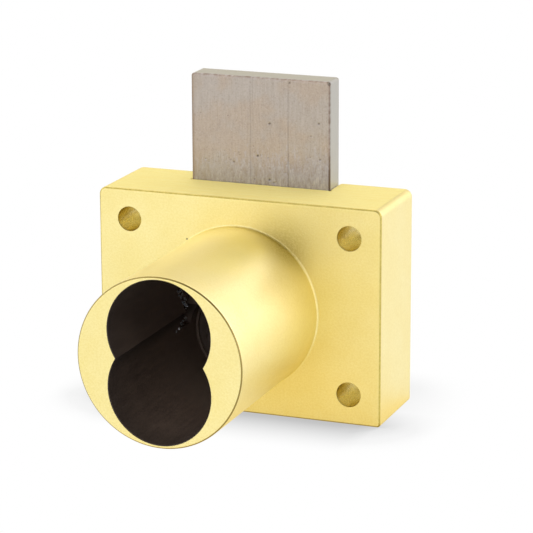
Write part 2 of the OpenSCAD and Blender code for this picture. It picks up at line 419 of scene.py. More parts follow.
def satin_brass():
    """Lacquered satin brass: fine grain and faint clouds, with a strip and a patch of painted shade.
    """
    finish, r = material("satin_brass")
    where = r.place()
    clouds = r.noise(where, 0.16, 3.0)
    grain = r.noise(where, 3.4, 3.0, 0.65)
    color = r.blend(r.span(clouds, 0.3, 0.7), BRASS_PALE, BRASS_DEEP)
    color = r.stain(color, grain, 0.38, 0.62, 0.22, (0.81, 0.66, 0.19))
    y = r.split(where)["Y"]
    # Painted shade: a deeper gold strip along the barrel's top stands in for a dark reflection band.
    beside = r.from_line(where, *SHADE_STRIP)
    strip = r.math("MULTIPLY", r.span(beside, STRIP_REACH, 0.8), r.span(y, -28.0, -13.0, 0.2, 0.8))
    strip = r.math("MULTIPLY", strip, r.span(y, -1.0, -6.0))
    color = r.blend(strip, color, (0.91, 0.76, 0.19))
    # Painted shade: an olive patch at the barrel's root stands in for the dark reflections in that
    # corner.
    away = r.add("ShaderNodeVectorMath", {0: where, 1: SHADE_PATCH}, operation="DISTANCE")
    away = r.math("ADD", away.outputs["Value"], r.span(grain, 0.3, 0.7, -0.9, 0.9))
    patch_shade = r.math("MULTIPLY", r.span(away, SHADE_PATCH_REACH, 0.5), r.span(grain, 0.38, 0.62, 0.3, 0.66))
    color = r.blend(patch_shade, color, (0.59, 0.47, 0.08))
    gloss = r.math("ADD", r.span(clouds, 0.3, 0.7, 0.43, 0.47), r.span(grain, 0.3, 0.7, -0.03, 0.04))
    normal = r.bump(grain, 0.045, 0.8)
    r.metal(color, gloss, normal, coat=(0.7, 0.38))
    return finish


def brushed_brass():
    """The case's ground top: the same lacquer over fine lines that run along it."""
    finish, r = material("brushed_brass")
    lines = r.noise(r.place((0.25, 5.0, 5.0)), 1.0, 3.0, 0.65)
    grain = r.noise(r.place(), 3.4, 3.0, 0.65)
    color = r.blend(r.span(lines, 0.35, 0.65), (1.0, 0.86, 0.32), (0.97, 0.81, 0.27))
    color = r.stain(color, grain, 0.35, 0.65, 0.14, (0.80, 0.63, 0.17))
    normal = r.bump(lines, 0.03, 0.6)
    normal = r.bump(grain, 0.02, 0.5, normal)
    gloss = r.span(lines, 0.3, 0.7, 0.58, 0.68)
    r.metal(color, gloss, normal, metallic=0.2, coat=(0.2, 0.6))
    return finish


def edge_painted_shade():
    """Brass on the tumbled edges under thin lacquer, painted darker for the dark reflections along
    them, and darkest round the mouth and at the foot.
    """
    finish, r = material("edge_painted_shade")
    specks = r.noise(r.place(), 2.2, 4.0, 0.7)
    # Painted shade: a dark olive brass that stands in for the dark reflections along the edges.
    color = r.blend(r.span(specks, 0.35, 0.65), (0.66, 0.52, 0.12), (0.54, 0.42, 0.085))
    _, y, z = r.split(r.place())
    # Painted shade, deeper still at the mouth's rim and at the foot, where the floor's shadow would be
    # mirrored.
    rim = r.span(y, BARREL_MOUTH + 0.6, BARREL_MOUTH + 0.4)
    foot = r.span(z, 1 - CASE_HALF_H, -CASE_HALF_H, 0.0, 0.8)
    color = r.blend(r.math("MAXIMUM", rim, foot), color, (0.33, 0.24, 0.05))
    normal = r.bump(specks, 0.02, 0.5)
    r.metal(color, r.span(specks, 0.3, 0.7, 0.3, 0.42), normal, coat=(0.5, 0.3))
    return finish


def bored_brass():
    """Brass inside a drilled hole: tool rings and dulled lacquer, darker at both ends."""
    finish, r = material("bored_brass")
    rings = r.noise(r.place((1.2, 9.0, 1.2)), 1.0, 4.0, 0.65)
    specks = r.noise(r.place(), 5.0, 3.0, 0.6)
    color = r.blend(r.span(rings, 0.35, 0.65), (1.0, 0.88, 0.40), (0.95, 0.80, 0.30))
    color = r.stain(color, specks, 0.58, 0.74, 0.6, (0.55, 0.44, 0.14))
    y = r.split(r.place())["Y"]
    color = r.stain(color, y, 0.9, 0.0, 0.5, (0.34, 0.28, 0.07))
    color = r.stain(color, y, 5.5, 9.5, 0.4, (0.36, 0.28, 0.07))
    normal = r.bump(rings, 0.04, 0.6)
    r.metal(color, r.span(specks, 0.3, 0.7, 0.22, 0.36), normal)
    return finish


def socket_painted_shade():
    """The socket's lining, painted dark brown for the shade deep in the socket, lightly streaked."""
    finish, r = material("socket_painted_shade")
    streaks = r.noise(r.place((1.6, 0.2, 1.6)), 1.0, 4.0, 0.6)
    pores = r.noise(r.place(), 3.0, 3.0, 0.6)
    _, y, z = r.split(r.place())
    # Painted shade: the lining is dark brown for the shade deep in the socket.
    color = r.blend(r.span(streaks, 0.35, 0.7), (0.15, 0.104, 0.080), (0.20, 0.140, 0.104))
    color = r.stain(color, pores, 0.55, 0.75, 0.4, (0.06, 0.045, 0.038))
    # Painted shade: nearly black just past the mouth, fading out by 18 mm in.
    mouth = r.span(y, BARREL_MOUTH, BARREL_MOUTH + 8, 0.85, 0.55)
    mouth = r.math("MULTIPLY", mouth, r.span(y, BARREL_MOUTH + 18, BARREL_MOUTH + 7))
    color = r.blend(mouth, color, (0.03, 0.022, 0.018))
    # Lighter further in, from 14 to 3 mm in front of the case's face.
    color = r.stain(color, y, -14.0, -3.0, 1.0, (0.26, 0.19, 0.145))
    # Painted shadow: a dark band just under the ridge where the two lobes meet.
    ridge_shadow = r.math("MULTIPLY", r.span(z, -3.2, -0.5), r.span(z, BARREL_Z - 0.06, BARREL_Z, 1.0, 0.0))
    ridge_shadow = r.math("MULTIPLY", ridge_shadow, 0.75)
    color = r.blend(ridge_shadow, color, (0.02, 0.015, 0.012))
    normal = r.bump(streaks, 0.03, 0.5)
    r.metal(color, r.span(streaks, 0.3, 0.7, 0.5, 0.65), normal, metallic=0.2)
    return finish


def torn_metal():
    """Bare bright metal where the lug pocket's cutter tore its way out."""
    finish, r = material("torn_metal")
    patches = r.noise(r.place(), 2.4, 3.0, 0.6)
    fine = r.noise(r.place(), 9.0, 2.0, 0.5)
    color = r.blend(r.span(patches, 0.42, 0.58), (0.86, 0.86, 0.83), (0.30, 0.33, 0.35))
    normal = r.bump(fine, 0.04, 0.8)
    r.metal(color, r.span(patches, 0.4, 0.6, 0.3, 0.5), normal, metallic=0.6)
    return finish


def cast_inside():
    """Raw casting behind the socket, as the mould left it."""
    finish, r = material("cast_inside")
    skin = r.noise(r.place(), 2.2, 5.0, 0.65)
    color = r.blend(r.span(skin, 0.3, 0.7), (0.58, 0.47, 0.22), (0.44, 0.35, 0.17))
    normal = r.bump(skin, 0.04, 0.8)
    r.metal(color, r.span(skin, 0.3, 0.7, 0.42, 0.6), normal)
    return finish


def nickel_plate():
    """Dull nickel on drawn bar: a tan, finely grained front, greyer and mottled at its foot."""
    finish, r = material("nickel_plate")
    where = r.place()
    x, y, z = r.split(where)
    grain = r.noise(r.place((4.5, 4.5, 0.35)), 1.0, 4.0, 0.65)
    streaks = r.noise(r.place((1.4, 1.4, 0.06)), 1.0, 3.0, 0.6)
    clouds = r.noise(where, 0.2, 3.0, 0.55)
    mottle = r.noise(r.place((2.4, 2.4, 0.8)), 1.0, 5.0, 0.7)
    specks = r.noise(where, 5.0, 2.0, 0.5)
    front = r.span(y, BOLT_LOW.y + 0.06, BOLT_LOW.y + 0.12, 1.0, 0.0)
    silver = (0.54, 0.52, 0.46)
    tan = (0.475, 0.392, 0.305)
    light = (0.47, 0.415, 0.35)
    foot = (0.385, 0.368, 0.405)
    color = r.blend(r.span(clouds, 0.4, 0.62), light, tan)
    edge = r.math("ADD", z, r.span(mottle, 0.25, 0.75, -2.6, 2.6, "LINEAR"))
    edge = r.math("ADD", edge, r.math("MULTIPLY", x, -0.12))
    color = r.stain(color, edge, 21.0, 15.5, 0.95, foot)
    color = r.stain(color, streaks, 0.45, 0.7, 0.16, (0.37, 0.31, 0.24))
    color = r.stain(color, grain, 0.4, 0.75, 0.22, (0.31, 0.26, 0.21))
    color = r.stain(color, specks, 0.56, 0.72, 0.28, (0.26, 0.20, 0.16))
    color = r.stain(color, specks, 0.46, 0.3, 0.22, (0.62, 0.56, 0.48))
    shadow = r.math("MULTIPLY", r.span(mottle, 0.48, 0.66), r.span(edge, 21.5, 17.0, 0.08, 0.6))
    color = r.blend(shadow, color, (0.25, 0.22, 0.21))
    gleam = r.math("MULTIPLY", r.span(mottle, 0.48, 0.34), r.span(edge, 21.5, 17.0, 0.0, 0.5))
    color = r.blend(gleam, color, (0.56, 0.53, 0.50))
    color = r.blend(front, silver, color)
    rust = r.add("ShaderNodeAttribute", attribute_name="tarnish").outputs["Fac"]
    color = r.blend(rust, color, (0.20, 0.115, 0.055))
    scars = r.add("ShaderNodeAttribute", attribute_name="scars").outputs["Fac"]
    color = r.blend(r.math("MULTIPLY", scars, 0.9), color, (0.05, 0.04, 0.03))
    rough = r.math("ADD", r.span(grain, 0.3, 0.7, 0.36, 0.46), r.math("MULTIPLY", rust, 0.2))
    normal = r.bump(grain, 0.015, 0.4)
    normal = r.bump(mottle, 0.015, 0.3, normal)
    r.metal(color, rough, normal, metallic=r.math("MULTIPLY_ADD", front, 0.65, 0.35))
    return finish


def plated_steel(name, light, dark, rough=0.36):
    """Zinc plate on steel: faint clouds, fine grain and hairline rolling marks along X."""
    finish, r = material(name)
    clouds = r.noise(r.place(), 0.13, 3.0, 0.5)
    lines = r.noise(r.place((0.12, 5.0, 5.0)), 1.0, 4.0, 0.65)
    grain = r.noise(r.place(), 4.0, 3.0, 0.6)
    color = r.blend(r.span(clouds, 0.3, 0.7, 0.0, 0.5), light, dark)
    color = r.stain(color, lines, 0.4, 0.7, 0.45, dark)
    color = r.stain(color, grain, 0.5, 0.72, 0.35, (0.36, 0.35, 0.33))
    normal = r.bump(lines, 0.02, 0.4)
    normal = r.bump(grain, 0.015, 0.3, normal)
    r.metal(color, r.span(lines, 0.3, 0.7, rough - 0.05, rough + 0.08), normal)
    return finish


def oiled_steel():
    """The turning member's steel, dark with old oil over the rings of the lathe."""
    finish, r = material("oiled_steel")
    out = r.from_line(r.place(), 0.0, PLUG_Z)
    out = r.add("ShaderNodeCombineXYZ", {"X": out}).outputs[0]
    rings = r.noise(out, 4.0, 3.0, 0.6)
    film = r.noise(r.place(), 0.4, 5.0, 0.7)
    color = r.blend(r.span(film, 0.3, 0.75), (0.16, 0.120, 0.092), (0.115, 0.086, 0.066))
    color = r.stain(color, rings, 0.45, 0.65, 0.4, (0.20, 0.155, 0.12))
    normal = r.bump(rings, 0.03, 0.6)
    r.metal(color, r.span(film, 0.3, 0.7, 0.38, 0.55), normal, metallic=0.5)
    return finish


BRASS = satin_brass()
BRUSHED = brushed_brass()
EDGE_SHADE = edge_painted_shade()
BORED = bored_brass()
SHADED_LINING = socket_painted_shade()
TORN = torn_metal()
CAST = cast_inside()
NICKEL = nickel_plate()
COVER_PLATE = plated_steel("plated_cover", (0.62, 0.61, 0.57), (0.47, 0.46, 0.43))
SCREW_PLATE = plated_steel("screw_plate", (0.66, 0.64, 0.58), (0.52, 0.50, 0.45), 0.3)
OILED = oiled_steel()


# Housing


def fillet(radius, steps):
    """Places round a quarter circle: how deep and how far in from a square edge."""
    return [(radius * (1 - math.cos(a)), radius * (1 - math.sin(a))) for a in angles(0, 90, steps)]


def case_block():
    """The case without its barrel, rounded at the front and back edges."""
    stations = []
    for deep, inward in fillet(CASE_EDGE, 6):
        w, h = CASE_HALF_W - inward, CASE_HALF_H - inward
        radii = tuple(radius - inward for radius in CASE_CORNERS)
        stations.append((deep, centred_rect(w, h, radii)))
    back = [(CASE_DEPTH - y, outline) for y, outline in reversed(stations)]
    return prism("case_and_barrel", stations + back, BRASS)


def barrel():
    """The barrel with its mouth's edge and the fillet at its foot, down into the case."""
    profile = [(BARREL_MOUTH + deep, BARREL_R - inward) for deep, inward in fillet(MOUTH_EDGE, 5)]
    lengths = 8
    for i in range(1, lengths):
        profile.append((BARREL_MOUTH - BARREL_MOUTH * i / lengths, BARREL_R))
    for a in angles(0, 84, 8):
        out = BARREL_FILLET * (1 - math.cos(a))
        profile.append((BARREL_FILLET * (math.sin(a) - 1), BARREL_R + out))
    profile.append((SOCKET_END, BARREL_R + BARREL_FILLET))
    return turned("barrel", profile, 0, BARREL_Z, BRASS, 144)


def bored(name, start, end, radius, paint):
    """A cutter for a plain bore on the plug's axis."""
    return turned(name, [(start, radius), (end, radius)], 0, PLUG_Z, paint)


def lug_cutter():
    """The pocket for the core's lug, its left wall round the plug's axis."""
    outline = [(-2, LUG_Z[0]), (-2, LUG_Z[1])]
    foot, top = (math.asin((z - PLUG_Z) / LUG_R) for z in LUG_Z)
    for i in range(LUG_STEPS + 1):
        a = top + (foot - top) * i / LUG_STEPS
        outline.append((-LUG_R * math.cos(a), PLUG_Z + LUG_R * math.sin(a)))
    return prism("lug pocket", [(y, outline) for y in LUG_Y], SHADED_LINING)


def socket_cutters():
    """The figure-eight socket with its worn lip, the lug pocket and the bores behind it."""
    wide = figure_eight(LOBE_R + SOCKET_LIP)
    plain = figure_eight(LOBE_R)
    stations = [(BARREL_MOUTH - PAST, wide), (BARREL_MOUTH, wide)]
    stations += [(BARREL_MOUTH + SOCKET_LIP, plain), (SOCKET_END, plain)]
    return [
        prism("core socket", stations, SHADED_LINING),
        lug_cutter(),
        bored("disc recess", SOCKET_END - PAST, WEB_Y[0], DISC_RECESS_R, SHADED_LINING),
        bored("journal bore", WEB_Y[0] - PAST, WEB_Y[1] + PAST, JOURNAL_BORE_R, CAST),
    ]


def screw_hole(x, z):
    """A cutter for a through-hole whose mouth is slightly worn open."""
    radius, lip = SCREW_HOLE_R, SCREW_HOLE_LIP
    profile = [(-PAST, radius + lip), (0, radius + lip), (lip * 0.4, radius + lip * 0.35)]
    profile += [(lip, radius), (CASE_DEPTH + PAST, radius)]
    return turned("screw hole", profile, x, z, BORED, 64)


def countersinks(name, start, back, paint, steps):
    """Cutters for the two cover screws, from the start of their shanks to the seats of their heads."""
    profile = [(start, COVER_THREAD_R), (back - COVER_HEAD_H, COVER_THREAD_R)]
    profile += [(back, COVER_HEAD_R), (back + PAST, COVER_HEAD_R)]
    return [turned(name, profile, side * COVER_SCREW_X, 0, paint, steps) for side in (-1, 1)]


def mechanism_cutters():
    """The spaces behind the web, open at the back until the cover closes them."""
    half, tall, corner = CHANNEL
    back = CASE_DEPTH + PAST
    pocket = round_rect(CRANK_POCKET_LEFT, -tall, half, CRANK_POCKET_TOP, corner)
    channel = centred_rect(half, tall, corner)
    seat = centred_rect(*COVER_SEAT)
    screw_end = CASE_DEPTH - COVER_SCREW_LENGTH - COVER_SCREW_ROOM
    return [
        prism("crank pocket", [(WEB_Y[1], pocket), (LAND_Y + 0.5, pocket)], CAST),
        prism("bolt channel", [(LAND_Y, channel), (back, channel)], CAST),
        prism("cover seat", [(COVER_Y, seat), (back, seat)], BRASS),
        slot_cutter(back),
        *countersinks("cover screw hole", screw_end, CASE_DEPTH, CAST, 48),
    ]


def slot_cutter(back):
    """The open-backed slot in the top wall, its back corners rounded by tumbling."""
    outline = []
    for side in (-1, 1):
        edge = [(side * x, y) for x, y in SLOT_RELIEF]
        for a in angles(0, 90, 8):
            x = SLOT_HALF + SLOT_FLARE * (1 - math.cos(a))
            edge.append((side * x, CASE_DEPTH - SLOT_FLARE + SLOT_FLARE * math.sin(a)))
        edge.append((side * (SLOT_HALF + SLOT_FLARE), back))
        outline += edge if side < 0 else edge[::-1]
    rings = [[(x, y, z) for x, y in outline] for z in (SLOT_FOOT, CASE_HALF_H + PAST)]
    return loft("bolt slot", rings, BRASS)


def torn_chips():
    """Chips of torn metal across the lug pocket's front edge, in two ragged runs."""
    chance = random.Random(11)
    corners = [Vector(corner) for corner in CHIP_CORNERS]
    points, faces = [], []
    for start, end, count, largest in CHIP_RUNS:
        for i in range(count):
            place = Vector(start).lerp(Vector(end), (i + chance.random()) / count)
            place += Vector((chance.gauss(-0.1, 0.12), chance.gauss(0, 0.4), chance.gauss(0, 0.2)))
            size = chance.uniform(0.08, largest)
            axis = Vector((chance.random(), chance.random(), 1))
            turn = Matrix.Rotation(chance.uniform(0, 6.28), 3, axis)
            first = len(points)
            for corner in corners:
                points.append(place + turn @ (corner * size * chance.uniform(0.45, 1.2)))
            faces += [tuple(first + k for k in side) for side in CHIP_SIDES]
    return solid("torn chips", points, faces)


def face_finishes(housing):
    """Gives the ground top its own finish, and the tumbled edges of case and barrel painted shade."""
    mesh = housing.data
    names = [paint.name for paint in mesh.materials]
    for paint in (BRUSHED, EDGE_SHADE):
        mesh.materials.append(paint)
    plain, top, worn = names.index(BRASS.name), len(names), len(names) + 1
    clear_of_barrel = BARREL_R + 0.6
    for face in mesh.polygons:
        if face.material_index != plain:
            continue
        where, way = face.center / MM, face.normal
        rim = where.y < BARREL_MOUTH + MOUTH_EDGE and -0.93 < way.y < -0.2
        ends = -0.01 < where.y < CASE_EDGE or where.y > CASE_DEPTH - CASE_EDGE
        outer = max(abs(where.x), abs(where.z - BARREL_Z)) > clear_of_barrel
        tilted = max(abs(part) for part in way) < 0.985
        # Rims and edge faces get the painted edge shade.
        if rim or (outer and ends and tilted):
            face.material_index = worn
        elif way.z > 0.9 and where.z > CASE_HALF_H - 0.05:
            face.material_index = top


def make_housing():
    housing = case_block()
    cut(housing, [barrel()], "UNION")
    tools = socket_cutters() + mechanism_cutters()
    tools += [screw_hole(x, z) for x, z in SCREW_HOLES]
    x, z, radius = CASTING_PIT
    tools.append(turned("casting pit", [(-0.5, radius), (0.25, radius)], x, z, SHADED_LINING, 10))
    cut(housing, tools)
    face_finishes(housing)
    add_shells(housing, torn_chips(), TORN)
    shade(housing)
    return housing


# Deadbolt


def lines_between(low, high, step, rounding, extra=()):
    """Places along one side of a slab: even steps, and more of them at the round edges."""
    ends = [0.0, 0.42 * rounding, 0.73 * rounding, rounding]
    places = [low + e for e in ends] + [high - e for e in ends] + list(extra)
    inner = high - low - 2 * rounding
    count = max(1, round(inner / step))
    places += [low + rounding + inner * i / count for i in range(1, count)]
    kept = []
    for place in sorted(places):
        if not kept or place - kept[-1] > 0.004:
            kept.append(place)
    return kept


def slab(name, xs, ys, zs, corner, edge, paint):
    """A closed plate on a lattice, with round corners seen from the front and broken edges."""
    low = Vector((xs[0], ys[0], zs[0]))
    high = Vector((xs[-1], ys[-1], zs[-1]))
    found, points, faces = {}, [], []

    def rounded(p):
        """Draws a lattice point in to the round corner and the broken edge beside it."""
        cx = min(max(p.x, low.x + corner), high.x - corner)
        cz = min(max(p.z, low.z + corner), high.z - corner)
        dx, dz = p.x - cx, p.z - cz
        reach = max(abs(dx), abs(dz))
        size = math.hypot(dx, dz)
        if size:
            dx, dz = dx / size, dz / size
        place = Vector((cx + dx * reach, p.y, cz + dz * reach))
        held = min(reach, corner - edge)
        core = Vector((cx + dx * held, min(max(p.y, low.y + edge), high.y - edge), cz + dz * held))
        out = place - core
        if out.length > 1e-9 and reach > corner - edge:
            return core + out.normalized() * edge
        return place

    def point(key):
        if key not in found:
            found[key] = len(points)
            points.append(rounded(Vector((xs[key[0]], ys[key[1]], zs[key[2]]))))
        return found[key]

    def quad(across, up, out, a, b, c):
        """One face at steps a and b of two axes, on the side c of the third."""
        for da, db in ((0, 0), (1, 0), (1, 1), (0, 1)):
            steps = {across: a + da, up: b + db, out: c}
            yield point((steps[0], steps[1], steps[2]))

    ends = (len(xs) - 1, len(ys) - 1, len(zs) - 1)
    for across, up, out in ((0, 2, 1), (0, 1, 2), (1, 2, 0)):
        for a in range(ends[across]):
            for b in range(ends[up]):
                for c in (0, ends[out]):
                    faces.append(list(quad(across, up, out, a, b, c)))
    return solid(name, points, faces, paint)


def bolt_pits():
    """The pits seen on the bolt's front, with finer ones strewn over its mottled foot."""
    pits = list(BOLT_PITS)
    chance = random.Random(7)
    while len(pits) < PIT_COUNT:
        x = chance.uniform(-10, 10)
        z = PIT_FOOT_Z + 6.0 * chance.random() ** 1.4
        if len(pits) % 4 == 0:
            z = chance.uniform(PIT_FOOT_Z, 31)
        pits.append((x, z, chance.uniform(0.05, 0.1)))
    return pits


def line_wear(x, z):
    """How deep and how dark the rolling lines are at a place on the bolt's front."""
    share = (z - CASE_HALF_H) / (BOLT_HIGH.z - CASE_HALF_H)
    deep = dark = 0.0
    for line, top, foot in BOLT_LINES:
        strength = max(0.0, foot + (top - foot) * share)
        wobble = 0.04 * noise.noise((line, z * 0.5, 0.3))
        near = math.exp(-((x - line - wobble) / BOLT_LINE_WIDTH) ** 2)
        deep += 0.03 * strength * near
        dark += 0.7 * strength * near
    return deep, dark


def pit_wear(x, z, pits):
    """How deep and how dark the pits are there. Each has a low raised rim."""
    deep = dark = 0.0
    for pit_x, pit_z, radius in pits:
        dx, dz = x - pit_x, z - pit_z
        if abs(dx) < PIT_RIM * radius and abs(dz) < PIT_RIM * radius:
            off = math.hypot(dx, dz) / radius
            if off < 1:
                deep += 0.07 * (1 - off * off)
                dark += (1 - off * off) * min(1.0, 5.5 * radius - 0.1)
            elif off < PIT_RIM:
                deep -= 0.012 * math.sin(math.pi * (off - 1) / (PIT_RIM - 1))
    return deep, dark


def edge_wear(x, z):
    """How deep, dark and brown the bolt's edges and its bitten corner are there."""
    jag = noise.noise((x * 3.1, z * 3.1, 1.7))
    ragged = noise.noise((x * 1.3, z * 1.3, 5.1))
    top = max(0.0, 1 - (BOLT_HIGH.z - z) / 0.34)
    right = max(0.0, 1 - (BOLT_NOSE_HALF - x) / 0.3)
    left = max(0.0, 1 - (BOLT_NOSE_HALF + x) / 0.5)
    foot = max(0.0, 1 - (z - CASE_HALF_H) / 5)
    broken = max(0.3, min(1.0, 0.6 + 0.6 * ragged + 0.3 * jag + 0.9 * foot))
    brown = top * max(0.1, min(0.65, 0.36 + 0.6 * jag + 0.3 * ragged))
    brown += left * 0.55 + right * broken
    dark = right * broken * (0.35 + 0.65 * foot)
    deep = (top + right) * 0.03
    bite_x, bite_z, radius = BOLT_BITE
    bite = math.hypot(x - bite_x, z - bite_z) / radius
    if bite < 1:
        deep += 0.16 * (1 - bite * bite)
        dark += 0.7 * (1 - bite * bite)
    return deep, dark, brown


def bolt_wear(x, z, pits):
    """How deep the bolt's front is marked, how dark the mark is and how brown it has gone."""
    deep, dark, brown = edge_wear(x, z)
    for more_deep, more_dark in (line_wear(x, z), pit_wear(x, z, pits)):
        deep += more_deep
        dark += more_dark
    return deep, min(1.0, dark), min(1.0, brown)


def mark_front(bolt, pits):
    """Sinks the marks into the bolt's front and leaves their darkness for its finish to read."""
    mesh = bolt.data
    dark = mesh.attributes.new("scars", "FLOAT", "POINT")
    brown = mesh.attributes.new("tarnish", "FLOAT", "POINT")
    front = BOLT_LOW.y * MM
    reach = MARKS_DEPTH * MM
    for i, point in enumerate(mesh.vertices):
        if point.co.y > front + reach or point.co.z < MARKS_FOOT_Z * MM:
            continue
        sunk = (point.co.y - front) / reach
        deep, scar, rust = bolt_wear(point.co.x / MM, point.co.z / MM, pits)
        point.co.y += deep * (1 - sunk) * MM
        dark.data[i].value = scar * (1 - sunk)
        brown.data[i].value = rust * (1 - sunk * sunk)


def make_bolt():
    front, back, top = BOLT_LOW.y, BOLT_HIGH.y, BOLT_HIGH.z
    half = BOLT_NOSE_HALF
    near_lines = [x + d for x, _, _ in BOLT_LINES for d in (-0.05, 0.0, 0.05)]
    xs = lines_between(-half, half, BOLT_NOSE_STEP, BOLT_NOSE_CORNER, near_lines)
    ys = lines_between(front, back, 0.5, BOLT_EDGE)
    zs = lines_between(MARKS_FOOT_Z, top, BOLT_NOSE_STEP, BOLT_NOSE_CORNER)
    zs = BOLT_HIDDEN_Z + [z for z in zs if z > MARKS_FOOT_Z + 0.1]
    bolt = slab("bolt_plate", xs, ys, zs, BOLT_NOSE_CORNER, BOLT_EDGE, NICKEL)
    outline = round_rect(BOLT_LOW.x, BOLT_LOW.z, BOLT_HIGH.x, BOLT_SHOULDER_Z, BOLT_BODY_CORNER)
    stations = [(front + BOLT_BODY_INSET, outline), (back - BOLT_BODY_INSET, outline)]
    body = prism("bolt body", stations, NICKEL)
    cut(body, [block("groove", *GROOVE, NICKEL)])
    cut(bolt, [body], "UNION")
    mark_front(bolt, bolt_pits())
    shade(bolt)
    return bolt


# Back cover and its screws


def make_cover():
    low, high = box_mm("back_cover")
    stations = []
    for deep, inward in fillet(COVER_EDGE, 4):
        outline = centred_rect(high.x - inward, high.z - inward, COVER_CORNER - inward)
        stations.append((high.y - deep, outline))
    stations.append((low.y, centred_rect(high.x, high.z, COVER_CORNER)))
    cover = prism("cover_plate", stations, COVER_PLATE)
    profile = [(low.y - PAST, COVER_HOLE_R), (high.y - COVER_HOLE_LIP, COVER_HOLE_R)]
    profile += [(high.y, COVER_HOLE_MOUTH_R), (high.y + PAST, COVER_HOLE_MOUTH_R)]
    tools = [turned("cover hole", profile, x, z, COVER_PLATE, 64) for x, z in SCREW_HOLES]
    tools += countersinks("countersink", low.y - PAST, high.y, COVER_PLATE, 64)
    cut(cover, tools)
    shade(cover)
    return cover


def screw_tree():
    """Geometry nodes for sunk screws: a coned head with a cross, a shank and its thread."""
    tree = bpy.data.node_groups.new("sunk screws", "GeometryNodeTree")
    tree.interface.new_socket("Geometry", in_out="OUTPUT", socket_type="NodeSocketGeometry")
    sizes = ("Spread", "Back", "Head Radius", "Head Height", "Thread Radius", "Length")
    sizes += ("Pitch", "Cross Length", "Cross Width", "Cross Depth")
    for name in sizes:
        tree.interface.new_socket(name, in_out="INPUT", socket_type="NodeSocketFloat")
    tree.interface.new_socket("Finish", in_out="INPUT", socket_type="NodeSocketMaterial")
    r = Recipe(tree)
    given = r.add("NodeGroupInput").outputs

    def vector(x=0.0, y=0.0, z=0.0):
        return r.add("ShaderNodeCombineXYZ", {"X": x, "Y": y, "Z": z}).outputs[0]

    def moved(geometry, shift=None, turn=None):
        sockets = {"Geometry": geometry}
        if shift:
            sockets["Translation"] = shift
        if turn:
            sockets["Rotation"] = turn
        return r.add("GeometryNodeTransform", sockets).outputs[0]

    drop = r.math("MULTIPLY", given["Head Height"], -1.0)
    shank_length = r.math("SUBTRACT", given["Length"], given["Head Height"])
    core = r.math("MULTIPLY", given["Thread Radius"], 0.84)
    head = r.add("GeometryNodeMeshCone", {
        "Vertices": 56, "Radius Top": given["Head Radius"],
        "Radius Bottom": given["Thread Radius"], "Depth": given["Head Height"],
    }).outputs["Mesh"]
    head = moved(head, vector(z=drop))
    deep = r.math("MULTIPLY", given["Cross Depth"], 2.0)
    arm = r.add("GeometryNodeMeshCube", {
        "Size": vector(given["Cross Length"], given["Cross Width"], deep),
    }).outputs["Mesh"]
    across = moved(arm, turn=(0.0, 0.0, math.pi / 2))
    recess = r.add("GeometryNodeMeshBoolean", {"Mesh 1": head}, operation="DIFFERENCE", solver="EXACT")
    for tool in (arm, across):
        tree.links.new(tool, recess.inputs["Mesh 2"])
    shank = r.add("GeometryNodeMeshCylinder", {
        "Vertices": 40, "Radius": core, "Depth": shank_length,
    }).outputs["Mesh"]
    middle = r.math("MULTIPLY", shank_length, 0.5)
    shank = moved(shank, vector(z=r.math("SUBTRACT", drop, middle)))
    threaded = r.math("SUBTRACT", shank_length, given["Pitch"])
    turns = r.math("DIVIDE", threaded, given["Pitch"])
    ridge = r.add("GeometryNodeCurveSpiral", {
        "Resolution": 28, "Rotations": turns, "Start Radius": core,
        "End Radius": core, "Height": threaded,
    }).outputs[0]
    reach = r.math("SUBTRACT", given["Thread Radius"], core)
    tip = r.add("GeometryNodeCurvePrimitiveCircle", {"Resolution": 4, "Radius": reach}).outputs[0]
    thread = r.add("GeometryNodeCurveToMesh", {
        "Curve": ridge, "Profile Curve": tip, "Fill Caps": True,
    }).outputs[0]
    half_pitch = r.math("MULTIPLY", given["Pitch"], 0.5)
    foot = r.math("ADD", r.math("MULTIPLY", given["Length"], -1.0), half_pitch)
    thread = moved(thread, vector(z=foot))
    screw = r.add("GeometryNodeJoinGeometry")
    for part in (recess.outputs[0], shank, thread):
        tree.links.new(part, screw.inputs[0])
    left = r.math("MULTIPLY", given["Spread"], -0.5)
    right = r.math("MULTIPLY", given["Spread"], 0.5)
    sites = r.add("GeometryNodeMeshLine", {
        "Count": 2, "Start Location": vector(left, given["Back"]),
        "Offset": vector(right, given["Back"]),
    }, mode="END_POINTS").outputs[0]
    placed = r.add("GeometryNodeInstanceOnPoints", {
        "Points": sites, "Instance": screw.outputs[0], "Rotation": (-math.pi / 2, 0.0, 0.0),
    }).outputs[0]
    real = r.add("GeometryNodeRealizeInstances", {"Geometry": placed}).outputs[0]
    done = r.add("GeometryNodeSetMaterial", {"Geometry": real, "Material": given["Finish"]}).outputs[0]
    r.add("NodeGroupOutput", {"Geometry": done})
    return tree


def make_cover_screws():
    seed = solid("cover_screw_pair", [(0, 0, 0), (1, 0, 0), (0, 1, 0)], [(0, 1, 2)])
    tree = screw_tree()
    step = seed.modifiers.new("screws", "NODES")
    step.node_group = tree
    wanted = {
        "Spread": 2 * COVER_SCREW_X, "Back": CASE_DEPTH, "Head Radius": COVER_HEAD_R - 0.03,
        "Head Height": COVER_HEAD_H, "Thread Radius": COVER_THREAD_R,
        "Length": COVER_SCREW_LENGTH, "Pitch": 0.45, "Cross Length": 2.2,
        "Cross Width": 0.5, "Cross Depth": 0.6,
    }
    for item in tree.interface.items_tree:
        if item.name == "Finish":
            step[item.identifier] = SCREW_PLATE
        elif item.name in wanted:
            step[item.identifier] = wanted[item.name] * MM
    settle(seed)
    seed.data.materials.clear()
    seed.data.materials.append(SCREW_PLATE)
    shade(seed, 40)
    return seed


# Put the pieces on their bodies


